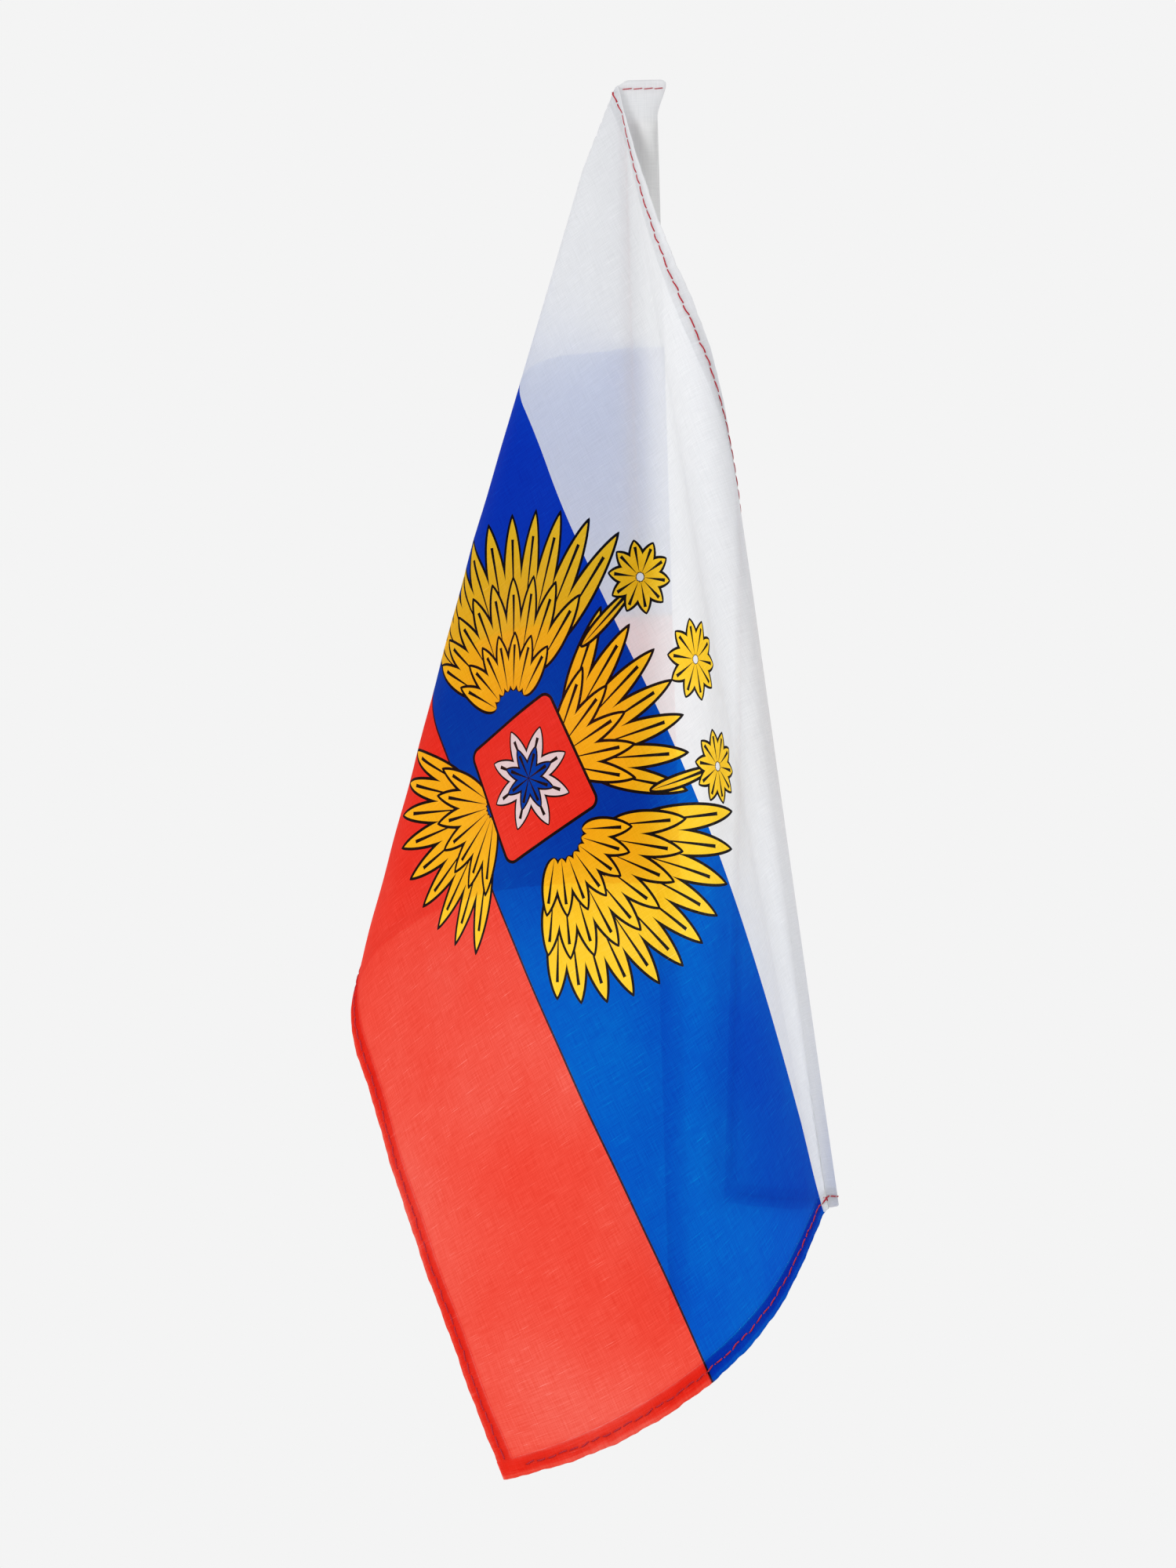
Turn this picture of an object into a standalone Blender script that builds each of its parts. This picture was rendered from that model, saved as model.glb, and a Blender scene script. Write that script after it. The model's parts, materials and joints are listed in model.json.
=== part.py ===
"""A small rectangular hand flag, 200 x 300 mm, hanging limp on its stick.

The cloth is one hemmed rectangle. Its hoist edge is sewn into a sleeve, closed at the top, and the stick
stands in the sleeve. From the sleeve's seam the cloth runs back, turns round a fold at the left, crosses in
front of the stick and turns back again at its fly end, so its upper fly corner hangs behind it.

The drape is exact bending, without stretch: the flat cloth turns a little about each of a fan of straight
lines. Most of them spread from the top of the seam, where the cloth hangs, and the rest run from the top
edge to the fly edge. Flat positions are (u, v): u from the hoist edge to the fly, v down from the top edge.
The origin is the centre of the stick's lower end, +Z runs up the stick and -Y faces the flag's front.
"""

import math

import bmesh
import bpy
from mathutils import Matrix, Vector

# Cloth, cut to size.
FLAG_LENGTH = 0.300
FLAG_WIDTH = 0.200
CLOTH_THICKNESS = 0.0003
HEM_WIDTH = 0.005
HEM_THICKNESS = 0.0006

# Sewing thread, laid along each hem and parted at each fold.
THREAD_WIDTH = 0.0006
THREAD_THICKNESS = 0.0003
THREAD_INSET = 0.0026
THREAD_STOP = 0.003

# Stick and the sleeve round it.
STICK_RADIUS = 0.0028
STICK_LENGTH = 0.300
STICK_END_BEVEL = 0.0006
TIP_COVER = 0.010
SLEEVE_FLAT = 0.012
SLEEVE_CLEARANCE = 0.0002
SLEEVE_THICKNESS = 0.0003
SLEEVE_TOP_CLOSED = 0.004

# Gap kept between neighbouring pieces. The folds are tightest at the top of the seam, so the hoist panel
# starts a little below the top, and the front's hem and panel a little past the seam.
GAP = 0.0003
HOIST_START = 0.010
FRONT_START = 0.010

# The sleeve's point lies to the left of the stick, turned a little to the front, and the cloth past the seam
# sets off this far round from straight left towards the back. It stands off the sleeve's point a little.
SLEEVE_TURN = 11.0
SEAM_HEADING = 78.0
SEAM_STAND_OFF = 0.0006

# Sectors that spread from the top of the seam: the angle from the seam at which each ends, and how far the
# cloth turns within it. The left fold lies where FOLD_SECTORS of them have passed.
SECTORS = (
    (8.0, 0.0),
    (16.0, -7.0),
    (24.0, -33.0),
    (32.0, -80.0),
    (40.0, -83.0),
    (48.0, -3.0),
    (56.0, -14.0),
    (64.0, -4.0),
    (70.0, 24.0),
    (76.0, 31.0),
)
FOLD_SECTORS = 4

# Sectors beyond them, from the top edge to the fly edge: where each ends along the top, as a share of the
# cloth past the seam, where it ends on the fly, as a share of the last line's drop, and its turn.
FLY_SECTORS = (
    (0.135, 0.92, -37.0),
    (0.270, 0.84, -111.0),
    (0.430, 0.68, -63.0),
)
FLY_FOLD_SECTORS = 2
LINES_PER_SECTOR = 4

WELD = 0.00002
HOIST_TOP = STICK_LENGTH + TIP_COVER
PANEL_LENGTH = FLAG_LENGTH - SLEEVE_FLAT
SLEEVE_INNER_RADIUS = STICK_RADIUS + SLEEVE_CLEARANCE


def seam_distance():
    """Distance from the stick's axis to the seam, for a sleeve whose loop is twice its flat width."""
    radius = SLEEVE_INNER_RADIUS + SLEEVE_THICKNESS / 2
    near, far = radius * 1.01, SLEEVE_FLAT
    for _ in range(40):
        middle = (near + far) / 2
        tangent = math.sqrt(middle * middle - radius * radius)
        arc = radius * (math.pi - math.acos(radius / middle))
        if tangent + arc < SLEEVE_FLAT:
            near = middle
        else:
            far = middle
    return near


def turned(x, y):
    """A point given with the sleeve's point straight to the left, turned to where it lies, in plan."""
    turn = math.radians(SLEEVE_TURN)
    return Vector((x * math.cos(turn) - y * math.sin(turn), x * math.sin(turn) + y * math.cos(turn)))


SLEEVE_POINT = seam_distance() + SLEEVE_THICKNESS
SEAM = turned(-SLEEVE_POINT, 0.0) + SEAM_STAND_OFF * Vector((-0.5, -0.85))


def material(name, colour, roughness):
    """A Principled BSDF of one colour."""
    made = bpy.data.materials.new(name)
    made.use_nodes = True
    shader = made.node_tree.nodes["Principled BSDF"]
    shader.inputs["Base Color"].default_value = (*colour, 1.0)
    shader.inputs["Roughness"].default_value = roughness
    shader.inputs["Metallic"].default_value = 0.0
    return made


def sheet_lines():
    """The lines that the cloth turns about, in order from the seam, each (start, direction, turn)."""
    lines = []
    apex = Vector((SLEEVE_FLAT, 0.0))
    angle = 0.0
    for end_angle, turn in SECTORS:
        for step in range(LINES_PER_SECTOR):
            share = (step + 0.5) / LINES_PER_SECTOR
            spread = math.radians(angle + (end_angle - angle) * share)
            direction = Vector((math.sin(spread), math.cos(spread)))
            lines.append((apex, direction, math.radians(turn / LINES_PER_SECTOR)))
        angle = end_angle
    last_drop = PANEL_LENGTH / math.tan(math.radians(angle))
    along, drop = 0.0, 1.0
    for end_along, end_drop, turn in FLY_SECTORS:
        for step in range(LINES_PER_SECTOR):
            share = (step + 0.5) / LINES_PER_SECTOR
            this_along = along + (end_along - along) * share
            this_drop = drop + (end_drop - drop) * share
            top, end = fly_line(this_along, this_drop, last_drop)
            lines.append((top, (end - top).normalized(), math.radians(turn / LINES_PER_SECTOR)))
        along, drop = end_along, end_drop
    return lines


def fly_line(along, drop, last_drop):
    """Both ends of a line from the top edge to the fly edge."""
    return Vector((SLEEVE_FLAT + PANEL_LENGTH * along, 0.0)), Vector((FLAG_LENGTH, last_drop * drop))


def left_fold():
    """Both flat ends of the left fold, from the top of the seam to the bottom edge."""
    angle = math.radians(SECTORS[FOLD_SECTORS - 1][0])
    return Vector((SLEEVE_FLAT, 0.0)), Vector((SLEEVE_FLAT + FLAG_WIDTH * math.tan(angle), FLAG_WIDTH))


def fly_fold():
    """Both flat ends of the fly fold, from the top edge to the fly edge."""
    along, drop, _ = FLY_SECTORS[FLY_FOLD_SECTORS - 1]
    return fly_line(along, drop, PANEL_LENGTH / math.tan(math.radians(SECTORS[-1][0])))


def strip_frames(lines):
    """For each flat strip between two lines, the matrix that carries the flat cloth to its place."""
    heading = math.radians(SEAM_HEADING)
    along = Vector((-math.cos(heading), math.sin(heading), 0.0))
    down = Vector((0.0, 0.0, -1.0))
    frame = Matrix((along, down, along.cross(down))).transposed().to_4x4()
    seam = frame @ Vector((SLEEVE_FLAT, 0.0, 0.0))
    frame = Matrix.Translation(Vector((*SEAM, HOIST_TOP)) - seam) @ frame
    frames = [frame]
    for start, direction, turn in lines:
        pivot = Matrix.Translation(start.to_3d())
        spin = Matrix.Rotation(turn, 4, direction.to_3d())
        frame = frame @ pivot @ spin @ pivot.inverted()
        frames.append(frame)
    return frames


LINES = sheet_lines()
FRAMES = strip_frames(LINES)


def side(point, line):
    """How far a flat point lies past a line, towards the fly."""
    start, direction, _ = line
    return (point.x - start.x) * direction.y - (point.y - start.y) * direction.x


def clipped(polygon, distance):
    """The part of a flat polygon where distance(point) is not negative."""
    kept = []
    for index, here in enumerate(polygon):
        there = polygon[(index + 1) % len(polygon)]
        a, b = distance(here), distance(there)
        if a >= 0.0:
            kept.append(here)
        if (a > 0.0 > b) or (a < 0.0 < b):
            kept.append(here.lerp(there, a / (a - b)))
    return kept


def strips_of(polygon):
    """The polygon cut along every line, as (strip number, its corners)."""
    pieces = []
    for number in range(len(FRAMES)):
        piece = polygon
        if number > 0:
            piece = clipped(piece, lambda point: side(point, LINES[number - 1]))
        if number < len(LINES) and piece:
            piece = clipped(piece, lambda point: -side(point, LINES[number]))
        if len(piece) >= 3:
            pieces.append((number, piece))
    return pieces


def draped_solid(polygon, thickness, lift=0.0):
    """A closed sheet over a flat polygon, bent to the drape. Lift moves it off the cloth, to its front side."""
    places, normals, keys, rings = [], [], {}, []
    for number, piece in strips_of(polygon):
        frame = FRAMES[number]
        normal = frame.to_3x3() @ Vector((0.0, 0.0, 1.0))
        ring = []
        for point in piece:
            key = (round(point.x / WELD), round(point.y / WELD))
            if key not in keys:
                keys[key] = len(places)
                places.append(frame @ point.to_3d())
                normals.append(Vector())
            index = keys[key]
            if index not in ring:
                ring.append(index)
                normals[index] += normal
        if len(ring) >= 3:
            rings.append(ring)
    mesh = bmesh.new()
    back = [mesh.verts.new(p + n.normalized() * (thickness / 2 - lift)) for p, n in zip(places, normals)]
    front = [mesh.verts.new(p - n.normalized() * (thickness / 2 + lift)) for p, n in zip(places, normals)]
    edges = set()
    for ring in rings:
        mesh.faces.new([back[i] for i in ring])
        mesh.faces.new([front[i] for i in reversed(ring)])
        edges.update((ring[k], ring[(k + 1) % len(ring)]) for k in range(len(ring)))
    for a, b in sorted(edges):
        if (b, a) not in edges:
            mesh.faces.new((back[b], back[a], front[a], front[b]))
    loose = [v for v in mesh.verts if not v.link_faces]
    bmesh.ops.delete(mesh, geom=loose, context="VERTS")
    bmesh.ops.recalc_face_normals(mesh, faces=mesh.faces)
    return mesh


def add_piece(name, mesh, mat, parent):
    """The mesh, given in world positions, as an object whose origin is its parent's."""
    bmesh.ops.translate(mesh, verts=mesh.verts, vec=-parent.location)
    data = bpy.data.meshes.new(name)
    mesh.to_mesh(data)
    mesh.free()
    data.materials.append(mat)
    data.shade_smooth()
    data.set_sharp_from_angle(angle=math.radians(40.0))
    piece = bpy.data.objects.new(name, data)
    bpy.context.scene.collection.objects.link(piece)
    piece.parent = parent
    return piece


def add_axis(name, place):
    """An empty on a joint's axis, which carries the pieces that turn about it."""
    empty = bpy.data.objects.new(name, None)
    empty.location = place
    bpy.context.scene.collection.objects.link(empty)
    return empty


def rectangle(u0, u1, v0, v1):
    """A flat rectangle."""
    return [Vector((u0, v0)), Vector((u1, v0)), Vector((u1, v1)), Vector((u0, v1))]


def before(fold, polygon, gap):
    """The part of a polygon on the seam's side of a fold, half of the gap short of it."""
    line = (fold[0], (fold[1] - fold[0]).normalized(), 0.0)
    return clipped(polygon, lambda point: -side(point, line) - gap / 2)


def beyond(fold, polygon, gap):
    """The part of a polygon on the fly's side of a fold, half of the gap past it."""
    line = (fold[0], (fold[1] - fold[0]).normalized(), 0.0)
    return clipped(polygon, lambda point: side(point, line) - gap / 2)


def remove_everything():
    """Clears the scene."""
    for old in list(bpy.data.objects):
        bpy.data.objects.remove(old)


def add_stick(mat):
    """A round rod with both ends eased, standing on its lower end."""
    mesh = bmesh.new()
    bmesh.ops.create_cone(
        mesh,
        cap_ends=True,
        segments=24,
        radius1=STICK_RADIUS,
        radius2=STICK_RADIUS,
        depth=STICK_LENGTH,
        matrix=Matrix.Translation((0.0, 0.0, STICK_LENGTH / 2)),
    )
    rims = [e for e in mesh.edges if abs(e.verts[0].co.z - e.verts[1].co.z) < WELD]
    bmesh.ops.bevel(mesh, geom=rims, offset=STICK_END_BEVEL, segments=2, profile=0.5, affect="EDGES")
    base = add_axis("stick_base", (0.0, 0.0, 0.0))
    return add_piece("stick", mesh, mat, base)


def loop_round_stick(radius, point_distance, count):
    """A drop-shaped loop round the stick, its point to the left, evenly spaced from the point."""
    tangent = math.sqrt(point_distance ** 2 - radius ** 2)
    half_turn = math.pi - math.acos(radius / point_distance)
    total = tangent + radius * half_turn
    loop = []
    for step in range(count):
        way = 2 * total * step / count
        mirrored = way > total
        if mirrored:
            way = 2 * total - way
        if way <= tangent:
            slope = math.asin(radius / point_distance)
            x = -point_distance + way * math.cos(slope)
            y = -way * math.sin(slope)
        else:
            angle = math.acos(radius / point_distance) + (way - tangent) / radius
            x = -radius * math.cos(angle)
            y = -radius * math.sin(angle)
        loop.append(Vector((x, -y if mirrored else y)))
    return loop


def loop_flat(left, right, half_thickness, count):
    """A flattened loop between two X positions, evenly spaced from its left end."""
    loop = []
    for step in range(count):
        share = 2.0 * step / count
        mirrored = share > 1.0
        if mirrored:
            share = 2.0 - share
        x = left + (right - left) * share
        y = -half_thickness * min(1.0, 6.0 * share, 6.0 * (1.0 - share))
        loop.append(Vector((x, -y if mirrored else y)))
    return loop


SLEEVE_POINTS = 32
SLEEVE_LEVELS = (0.0, 0.15, 0.3, 0.45, 0.6, 0.75, 0.9, 1.0)


def sleeve_ring(mesh, share, depth, wall):
    """One ring of the sleeve at a depth below its top, flat at share 0 and round the stick at share 1."""
    distance = seam_distance()
    point = distance + wall
    around = loop_round_stick(SLEEVE_INNER_RADIUS + wall, point, SLEEVE_POINTS)
    right = SLEEVE_FLAT - distance
    flat = loop_flat(-point, right + wall, SLEEVE_THICKNESS / 2 + wall, SLEEVE_POINTS)
    ease = share * share * (3.0 - 2.0 * share)
    places = [a.lerp(b, ease) for a, b in zip(flat, around)]
    return [mesh.verts.new((*turned(p.x, p.y), HOIST_TOP - depth)) for p in places]


def bridge(mesh, ring_a, ring_b):
    """A band of faces between two rings."""
    for index in range(len(ring_a)):
        nxt = (index + 1) % len(ring_a)
        mesh.faces.new((ring_a[index], ring_a[nxt], ring_b[nxt], ring_b[index]))


def add_sleeve(mat, parent):
    """The tube of cloth round the stick: sewn flat at its top, round below, open at its lower end."""
    mesh = bmesh.new()
    outer, inner = [], []
    for share in SLEEVE_LEVELS:
        outer.append(sleeve_ring(mesh, share, TIP_COVER * share, SLEEVE_THICKNESS))
    outer.append(sleeve_ring(mesh, 1.0, FLAG_WIDTH, SLEEVE_THICKNESS))
    first = SLEEVE_TOP_CLOSED / TIP_COVER
    for share in [first] + [s for s in SLEEVE_LEVELS if s > first + 0.02]:
        inner.append(sleeve_ring(mesh, share, TIP_COVER * share, 0.0))
    inner.append(sleeve_ring(mesh, 1.0, FLAG_WIDTH, 0.0))
    for rings in (outer, inner):
        for a, b in zip(rings, rings[1:]):
            bridge(mesh, a, b)
    bridge(mesh, outer[-1], inner[-1])
    mesh.faces.new(outer[0])
    mesh.faces.new(inner[0])
    bmesh.ops.recalc_face_normals(mesh, faces=mesh.faces)
    return add_piece("sleeve", mesh, mat, parent)


def add_thread(name, size, middle, mat, parent):
    """A straight thread, its middle given with the sleeve's point straight to the left."""
    mesh = bmesh.new()
    place = Matrix.Translation((*turned(middle[0], middle[1]), middle[2]))
    place = place @ Matrix.Rotation(math.radians(SLEEVE_TURN), 4, "Z") @ Matrix.Diagonal((*size, 1.0))
    bmesh.ops.create_cube(mesh, size=1.0, matrix=place)
    add_piece(name, mesh, mat, parent)


def add_sleeve_threads(mat, parent):
    """The line of stitches down the sleeve's seam and the short one that closes its top."""
    lift = GAP + THREAD_THICKNESS / 2
    x = THREAD_INSET / 2 - SLEEVE_POINT
    outer_radius = SLEEVE_INNER_RADIUS + SLEEVE_THICKNESS
    slope = outer_radius / math.sqrt(SLEEVE_POINT ** 2 - outer_radius ** 2)
    y = lift + slope * (THREAD_INSET + THREAD_WIDTH) / 2
    size = (THREAD_WIDTH, THREAD_THICKNESS, FLAG_WIDTH - 2 * TIP_COVER)
    add_thread("sleeve_seam_thread", size, (x, y, HOIST_TOP - FLAG_WIDTH / 2), mat, parent)
    x = SLEEVE_FLAT / 2 - SLEEVE_POINT
    y = lift + SLEEVE_THICKNESS * 1.5
    size = (SLEEVE_FLAT - 2 * THREAD_INSET, THREAD_THICKNESS, THREAD_WIDTH)
    add_thread("sleeve_top_thread", size, (x, y, HOIST_TOP - THREAD_INSET / 2), mat, parent)


def main():
    remove_everything()
    cloth = material("cloth", (0.86, 0.87, 0.90), 0.75)
    hem_cloth = material("hem_cloth", (0.80, 0.81, 0.85), 0.75)
    thread = material("thread", (0.70, 0.04, 0.07), 0.55)
    plastic = material("stick_plastic", (0.88, 0.88, 0.86), 0.45)

    inner_left = SLEEVE_FLAT + GAP
    inner_right = FLAG_LENGTH - HEM_WIDTH - GAP
    inner_top = HEM_WIDTH + GAP
    inner_bottom = FLAG_WIDTH - HEM_WIDTH - GAP
    left, fly = left_fold(), fly_fold()

    panel = rectangle(inner_left, inner_right, inner_top, inner_bottom)
    top_hem = rectangle(SLEEVE_FLAT + FRONT_START, inner_right, 0.0, HEM_WIDTH)
    bottom_hem = rectangle(inner_left, inner_right, FLAG_WIDTH - HEM_WIDTH, FLAG_WIDTH)
    fly_hem = rectangle(FLAG_LENGTH - HEM_WIDTH, FLAG_LENGTH, 0.0, FLAG_WIDTH)

    half = THREAD_WIDTH / 2
    high, low = THREAD_INSET, FLAG_WIDTH - THREAD_INSET
    far = FLAG_LENGTH - THREAD_INSET
    top_start = SLEEVE_FLAT + FRONT_START
    bottom_start = SLEEVE_FLAT + HEM_WIDTH
    top_thread = rectangle(top_start, inner_right, high - half, high + half)
    bottom_thread = rectangle(bottom_start, inner_right, low - half, low + half)
    fly_thread = rectangle(far - half, far + half, HEM_WIDTH, FLAG_WIDTH - HEM_WIDTH)
    thread_lift = HEM_THICKNESS / 2 + GAP + THREAD_THICKNESS / 2

    add_stick(plastic)
    turn_axis = add_axis("flag_turn_axis", (0.0, 0.0, HOIST_TOP - FLAG_WIDTH))
    add_sleeve(hem_cloth, turn_axis)
    add_sleeve_threads(thread, turn_axis)

    seam_axis = add_axis("hoist_swing_axis", (*SEAM, HOIST_TOP))
    fold_axis = add_axis("front_fold_axis", fold_place(left[0]))
    corner_axis = add_axis("fly_fold_axis", fold_place(fly[0]))

    def hoist_part(polygon, gap=GAP):
        return clipped(before(left, polygon, gap), lambda point: point.y - HOIST_START)

    def front_part(polygon, gap=GAP):
        return before(fly, beyond(left, polygon, gap), gap)

    def corner_part(polygon, gap=GAP):
        return beyond(fly, polygon, gap)

    for name, part, flat_pieces, axis in (
        ("hoist", hoist_part, {"bottom": bottom_hem}, seam_axis),
        ("front", front_part, {"top": top_hem, "bottom": bottom_hem, "fly": fly_hem}, fold_axis),
        ("corner", corner_part, {"top": top_hem, "fly": fly_hem}, corner_axis),
    ):
        add_piece(name + "_panel", draped_solid(part(panel), CLOTH_THICKNESS), cloth, axis)
        for edge, hem in flat_pieces.items():
            add_piece(f"{name}_{edge}_hem", draped_solid(part(hem), HEM_THICKNESS), hem_cloth, axis)
        runs = {"top": top_thread, "bottom": bottom_thread, "fly": fly_thread}
        for edge in flat_pieces:
            solid = draped_solid(part(runs[edge], THREAD_STOP), THREAD_THICKNESS, thread_lift)
            add_piece(f"{name}_{edge}_thread", solid, thread, axis)


def fold_place(flat):
    """Where a flat point lies in the draped cloth."""
    number = sum(1 for line in LINES if side(flat, line) > WELD)
    return FRAMES[number] @ flat.to_3d()


main()
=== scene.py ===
"""A small hand flag, 200 x 300 mm, of thin printed polyester, hanging limp on its stick.

The cloth hangs from the top of its sleeve's seam. Past the seam it runs back, turns round a fold at the
left, crosses in front of the stick and folds back again at its fly end. Lengths are in metres, in the CAD's
frame: +Z runs up the stick and -Y faces the flag's front.
"""

import json
import math

import bmesh
import bpy
import numpy as np
from mathutils import Matrix, Vector


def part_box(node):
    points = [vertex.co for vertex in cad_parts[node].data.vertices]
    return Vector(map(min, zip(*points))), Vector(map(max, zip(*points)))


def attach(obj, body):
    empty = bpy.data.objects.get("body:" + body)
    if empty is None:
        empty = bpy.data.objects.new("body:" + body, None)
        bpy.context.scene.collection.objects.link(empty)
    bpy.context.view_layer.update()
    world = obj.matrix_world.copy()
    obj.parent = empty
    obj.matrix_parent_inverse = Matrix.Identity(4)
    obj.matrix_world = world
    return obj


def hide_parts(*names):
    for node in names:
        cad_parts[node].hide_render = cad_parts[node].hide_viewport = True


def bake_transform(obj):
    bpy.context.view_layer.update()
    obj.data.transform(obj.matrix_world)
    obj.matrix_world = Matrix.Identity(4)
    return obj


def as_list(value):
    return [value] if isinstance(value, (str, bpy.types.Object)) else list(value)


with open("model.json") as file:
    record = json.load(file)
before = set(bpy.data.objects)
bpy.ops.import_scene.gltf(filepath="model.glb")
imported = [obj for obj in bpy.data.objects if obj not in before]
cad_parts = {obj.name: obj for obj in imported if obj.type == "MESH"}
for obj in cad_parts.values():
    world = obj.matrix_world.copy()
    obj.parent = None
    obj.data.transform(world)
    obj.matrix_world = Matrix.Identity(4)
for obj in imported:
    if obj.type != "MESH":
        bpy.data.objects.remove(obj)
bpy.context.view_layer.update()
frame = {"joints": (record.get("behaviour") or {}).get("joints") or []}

# The view: level with the flag and square to its front, from far off through a long lens. It leans a
# little, so the stick stands that much out of upright in it.
VIEW_CENTRE = Vector((-0.0191, 0.0, 0.1351))
VIEW_DISTANCE = 3.0
VIEW_HEIGHT = 0.3906
VIEW_LEAN = math.radians(1.7)
SENSOR = 36.0

camera_data = bpy.data.cameras.new("camera")
camera_data.sensor_width = SENSOR
camera_data.lens = SENSOR * VIEW_DISTANCE / VIEW_HEIGHT
camera = bpy.data.objects.new("camera", camera_data)
bpy.context.scene.collection.objects.link(camera)
camera.matrix_world = (
    Matrix.Translation(VIEW_CENTRE - Vector((0.0, VIEW_DISTANCE, 0.0)))
    @ Matrix.Rotation(VIEW_LEAN, 4, "Y")
    @ Matrix.Rotation(math.radians(90.0), 4, "X")
)
bpy.context.scene.camera = camera

# The studio: an even pale surround and floor, which light the cloth from all sides and through it, and one
# large soft lamp high at the front left with a weaker one at the right.
SURROUND = 0.905
FLOOR_DROP = 0.25
FLOOR_SIZE = 6.0
LAMPS = (
    ("key_lamp", (-1.5, -1.9, 1.0), 1.0, 36.0),
    ("side_lamp", (1.6, -1.5, 0.1), 0.9, 4.0),
)

bpy.context.scene.view_settings.view_transform = "Standard"
world = bpy.data.worlds.new("studio")
bpy.context.scene.world = world
world.use_nodes = True
world.node_tree.nodes["Background"].inputs["Color"].default_value = (SURROUND, SURROUND, SURROUND, 1.0)

floor_material = bpy.data.materials.new("studio_floor")
floor_material.use_nodes = True
floor_shader = floor_material.node_tree.nodes["Principled BSDF"]
floor_shader.inputs["Base Color"].default_value = (0.0, 0.0, 0.0, 1.0)
floor_shader.inputs["Specular IOR Level"].default_value = 0.0
floor_shader.inputs["Emission Color"].default_value = (SURROUND, SURROUND, SURROUND, 1.0)
floor_shader.inputs["Emission Strength"].default_value = 1.0
floor_mesh = bmesh.new()
bmesh.ops.create_grid(floor_mesh, x_segments=2, y_segments=2, size=FLOOR_SIZE / 2)
bmesh.ops.translate(floor_mesh, verts=floor_mesh.verts, vec=(0.0, 0.0, -FLOOR_DROP))
floor_data = bpy.data.meshes.new("floor")
floor_mesh.to_mesh(floor_data)
floor_data.materials.append(floor_material)
floor = bpy.data.objects.new("floor", floor_data)
bpy.context.scene.collection.objects.link(floor)

for lamp_name, lamp_place, lamp_size, lamp_power in LAMPS:
    lamp_data = bpy.data.lights.new(lamp_name, "AREA")
    lamp_data.shape = "DISK"
    lamp_data.size = lamp_size
    lamp_data.energy = lamp_power
    lamp = bpy.data.objects.new(lamp_name, lamp_data)
    bpy.context.scene.collection.objects.link(lamp)
    lamp.location = lamp_place
    lamp.rotation_euler = (VIEW_CENTRE - Vector(lamp_place)).to_track_quat("-Z", "Y").to_euler()


# The stick: a thin rod of pale plastic, drawn round and cut off at both ends, which are eased, the lower one
# a little sunk in the middle. It carries a faint line from its die on each side and the fine scratches of
# use.
def wire(tree, kind, *given, **settings):
    """A node with its settings and its first inputs, each a number or another node's output."""
    node = tree.nodes.new(kind)
    for name, setting in settings.items():
        setattr(node, name, setting)
    for place, item in enumerate(given):
        if isinstance(item, bpy.types.NodeSocket):
            tree.links.new(item, node.inputs[place])
        elif item is not None:
            node.inputs[place].default_value = item
    return node.outputs[0]


def calc(tree, operation, *given):
    """One step of arithmetic."""
    return wire(tree, "ShaderNodeMath", *given, operation=operation)


def mixed(tree, share, colour_a, colour_b):
    """Colour A where the share is 0 and colour B where it is 1."""
    node = tree.nodes.new("ShaderNodeMix")
    node.data_type = "RGBA"
    for place, item in ((0, share), (6, colour_a), (7, colour_b)):
        if isinstance(item, bpy.types.NodeSocket):
            tree.links.new(item, node.inputs[place])
        else:
            node.inputs[place].default_value = item if place == 0 else (*item, 1.0)
    return node.outputs[2]


def new_piece(name, mesh, material, slot, *nodes):
    """An object of a finished mesh, shaded smooth, in place of its CAD nodes."""
    data = bpy.data.meshes.new(name)
    mesh.to_mesh(data)
    mesh.free()
    data.materials.append(material)
    data.shade_smooth()
    piece = bpy.data.objects.new(name, data)
    bpy.context.scene.collection.objects.link(piece)
    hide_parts(*nodes)
    return piece


STICK_SIDES = 48
STICK_EASE = 0.0006
STICK_STEP = 0.004
END_DIMPLE = ((0.0, 0.0004), (0.35, 0.0003), (0.5, 0.0))
DIE_LINE_HALF = 0.00012

stick_low, stick_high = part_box("stick")
stick_radius = (stick_high.x - stick_low.x) / 2
stick_length = stick_high.z - stick_low.z

ease_steps = [math.radians(a) for a in range(0, 91, 15)]
profile = [(stick_radius * share, depth) for share, depth in END_DIMPLE]
for angle in ease_steps:
    around = stick_radius - STICK_EASE * (1.0 - math.sin(angle))
    profile.append((around, STICK_EASE * (1.0 - math.cos(angle))))
straight_steps = int(stick_length / STICK_STEP)
for step in range(1, straight_steps):
    profile.append((stick_radius, stick_length * step / straight_steps))
for angle in reversed(ease_steps):
    around = stick_radius - STICK_EASE * (1.0 - math.sin(angle))
    profile.append((around, stick_length - STICK_EASE * (1.0 - math.cos(angle))))
profile.append((0.0, stick_length))

stick_mesh = bmesh.new()
rings = []
for around, height in profile:
    if around == 0.0:
        rings.append([stick_mesh.verts.new((0.0, 0.0, height))])
        continue
    angles = [math.tau * side / STICK_SIDES for side in range(STICK_SIDES)]
    ring = [(around * math.cos(angle), around * math.sin(angle), height) for angle in angles]
    rings.append([stick_mesh.verts.new(place) for place in ring])
for low_ring, high_ring in zip(rings, rings[1:]):
    for side in range(STICK_SIDES):
        nxt = (side + 1) % STICK_SIDES
        corners = [low_ring[side % len(low_ring)], low_ring[nxt % len(low_ring)]]
        corners += [high_ring[nxt % len(high_ring)], high_ring[side % len(high_ring)]]
        stick_mesh.faces.new(list(dict.fromkeys(corners)))

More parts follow.
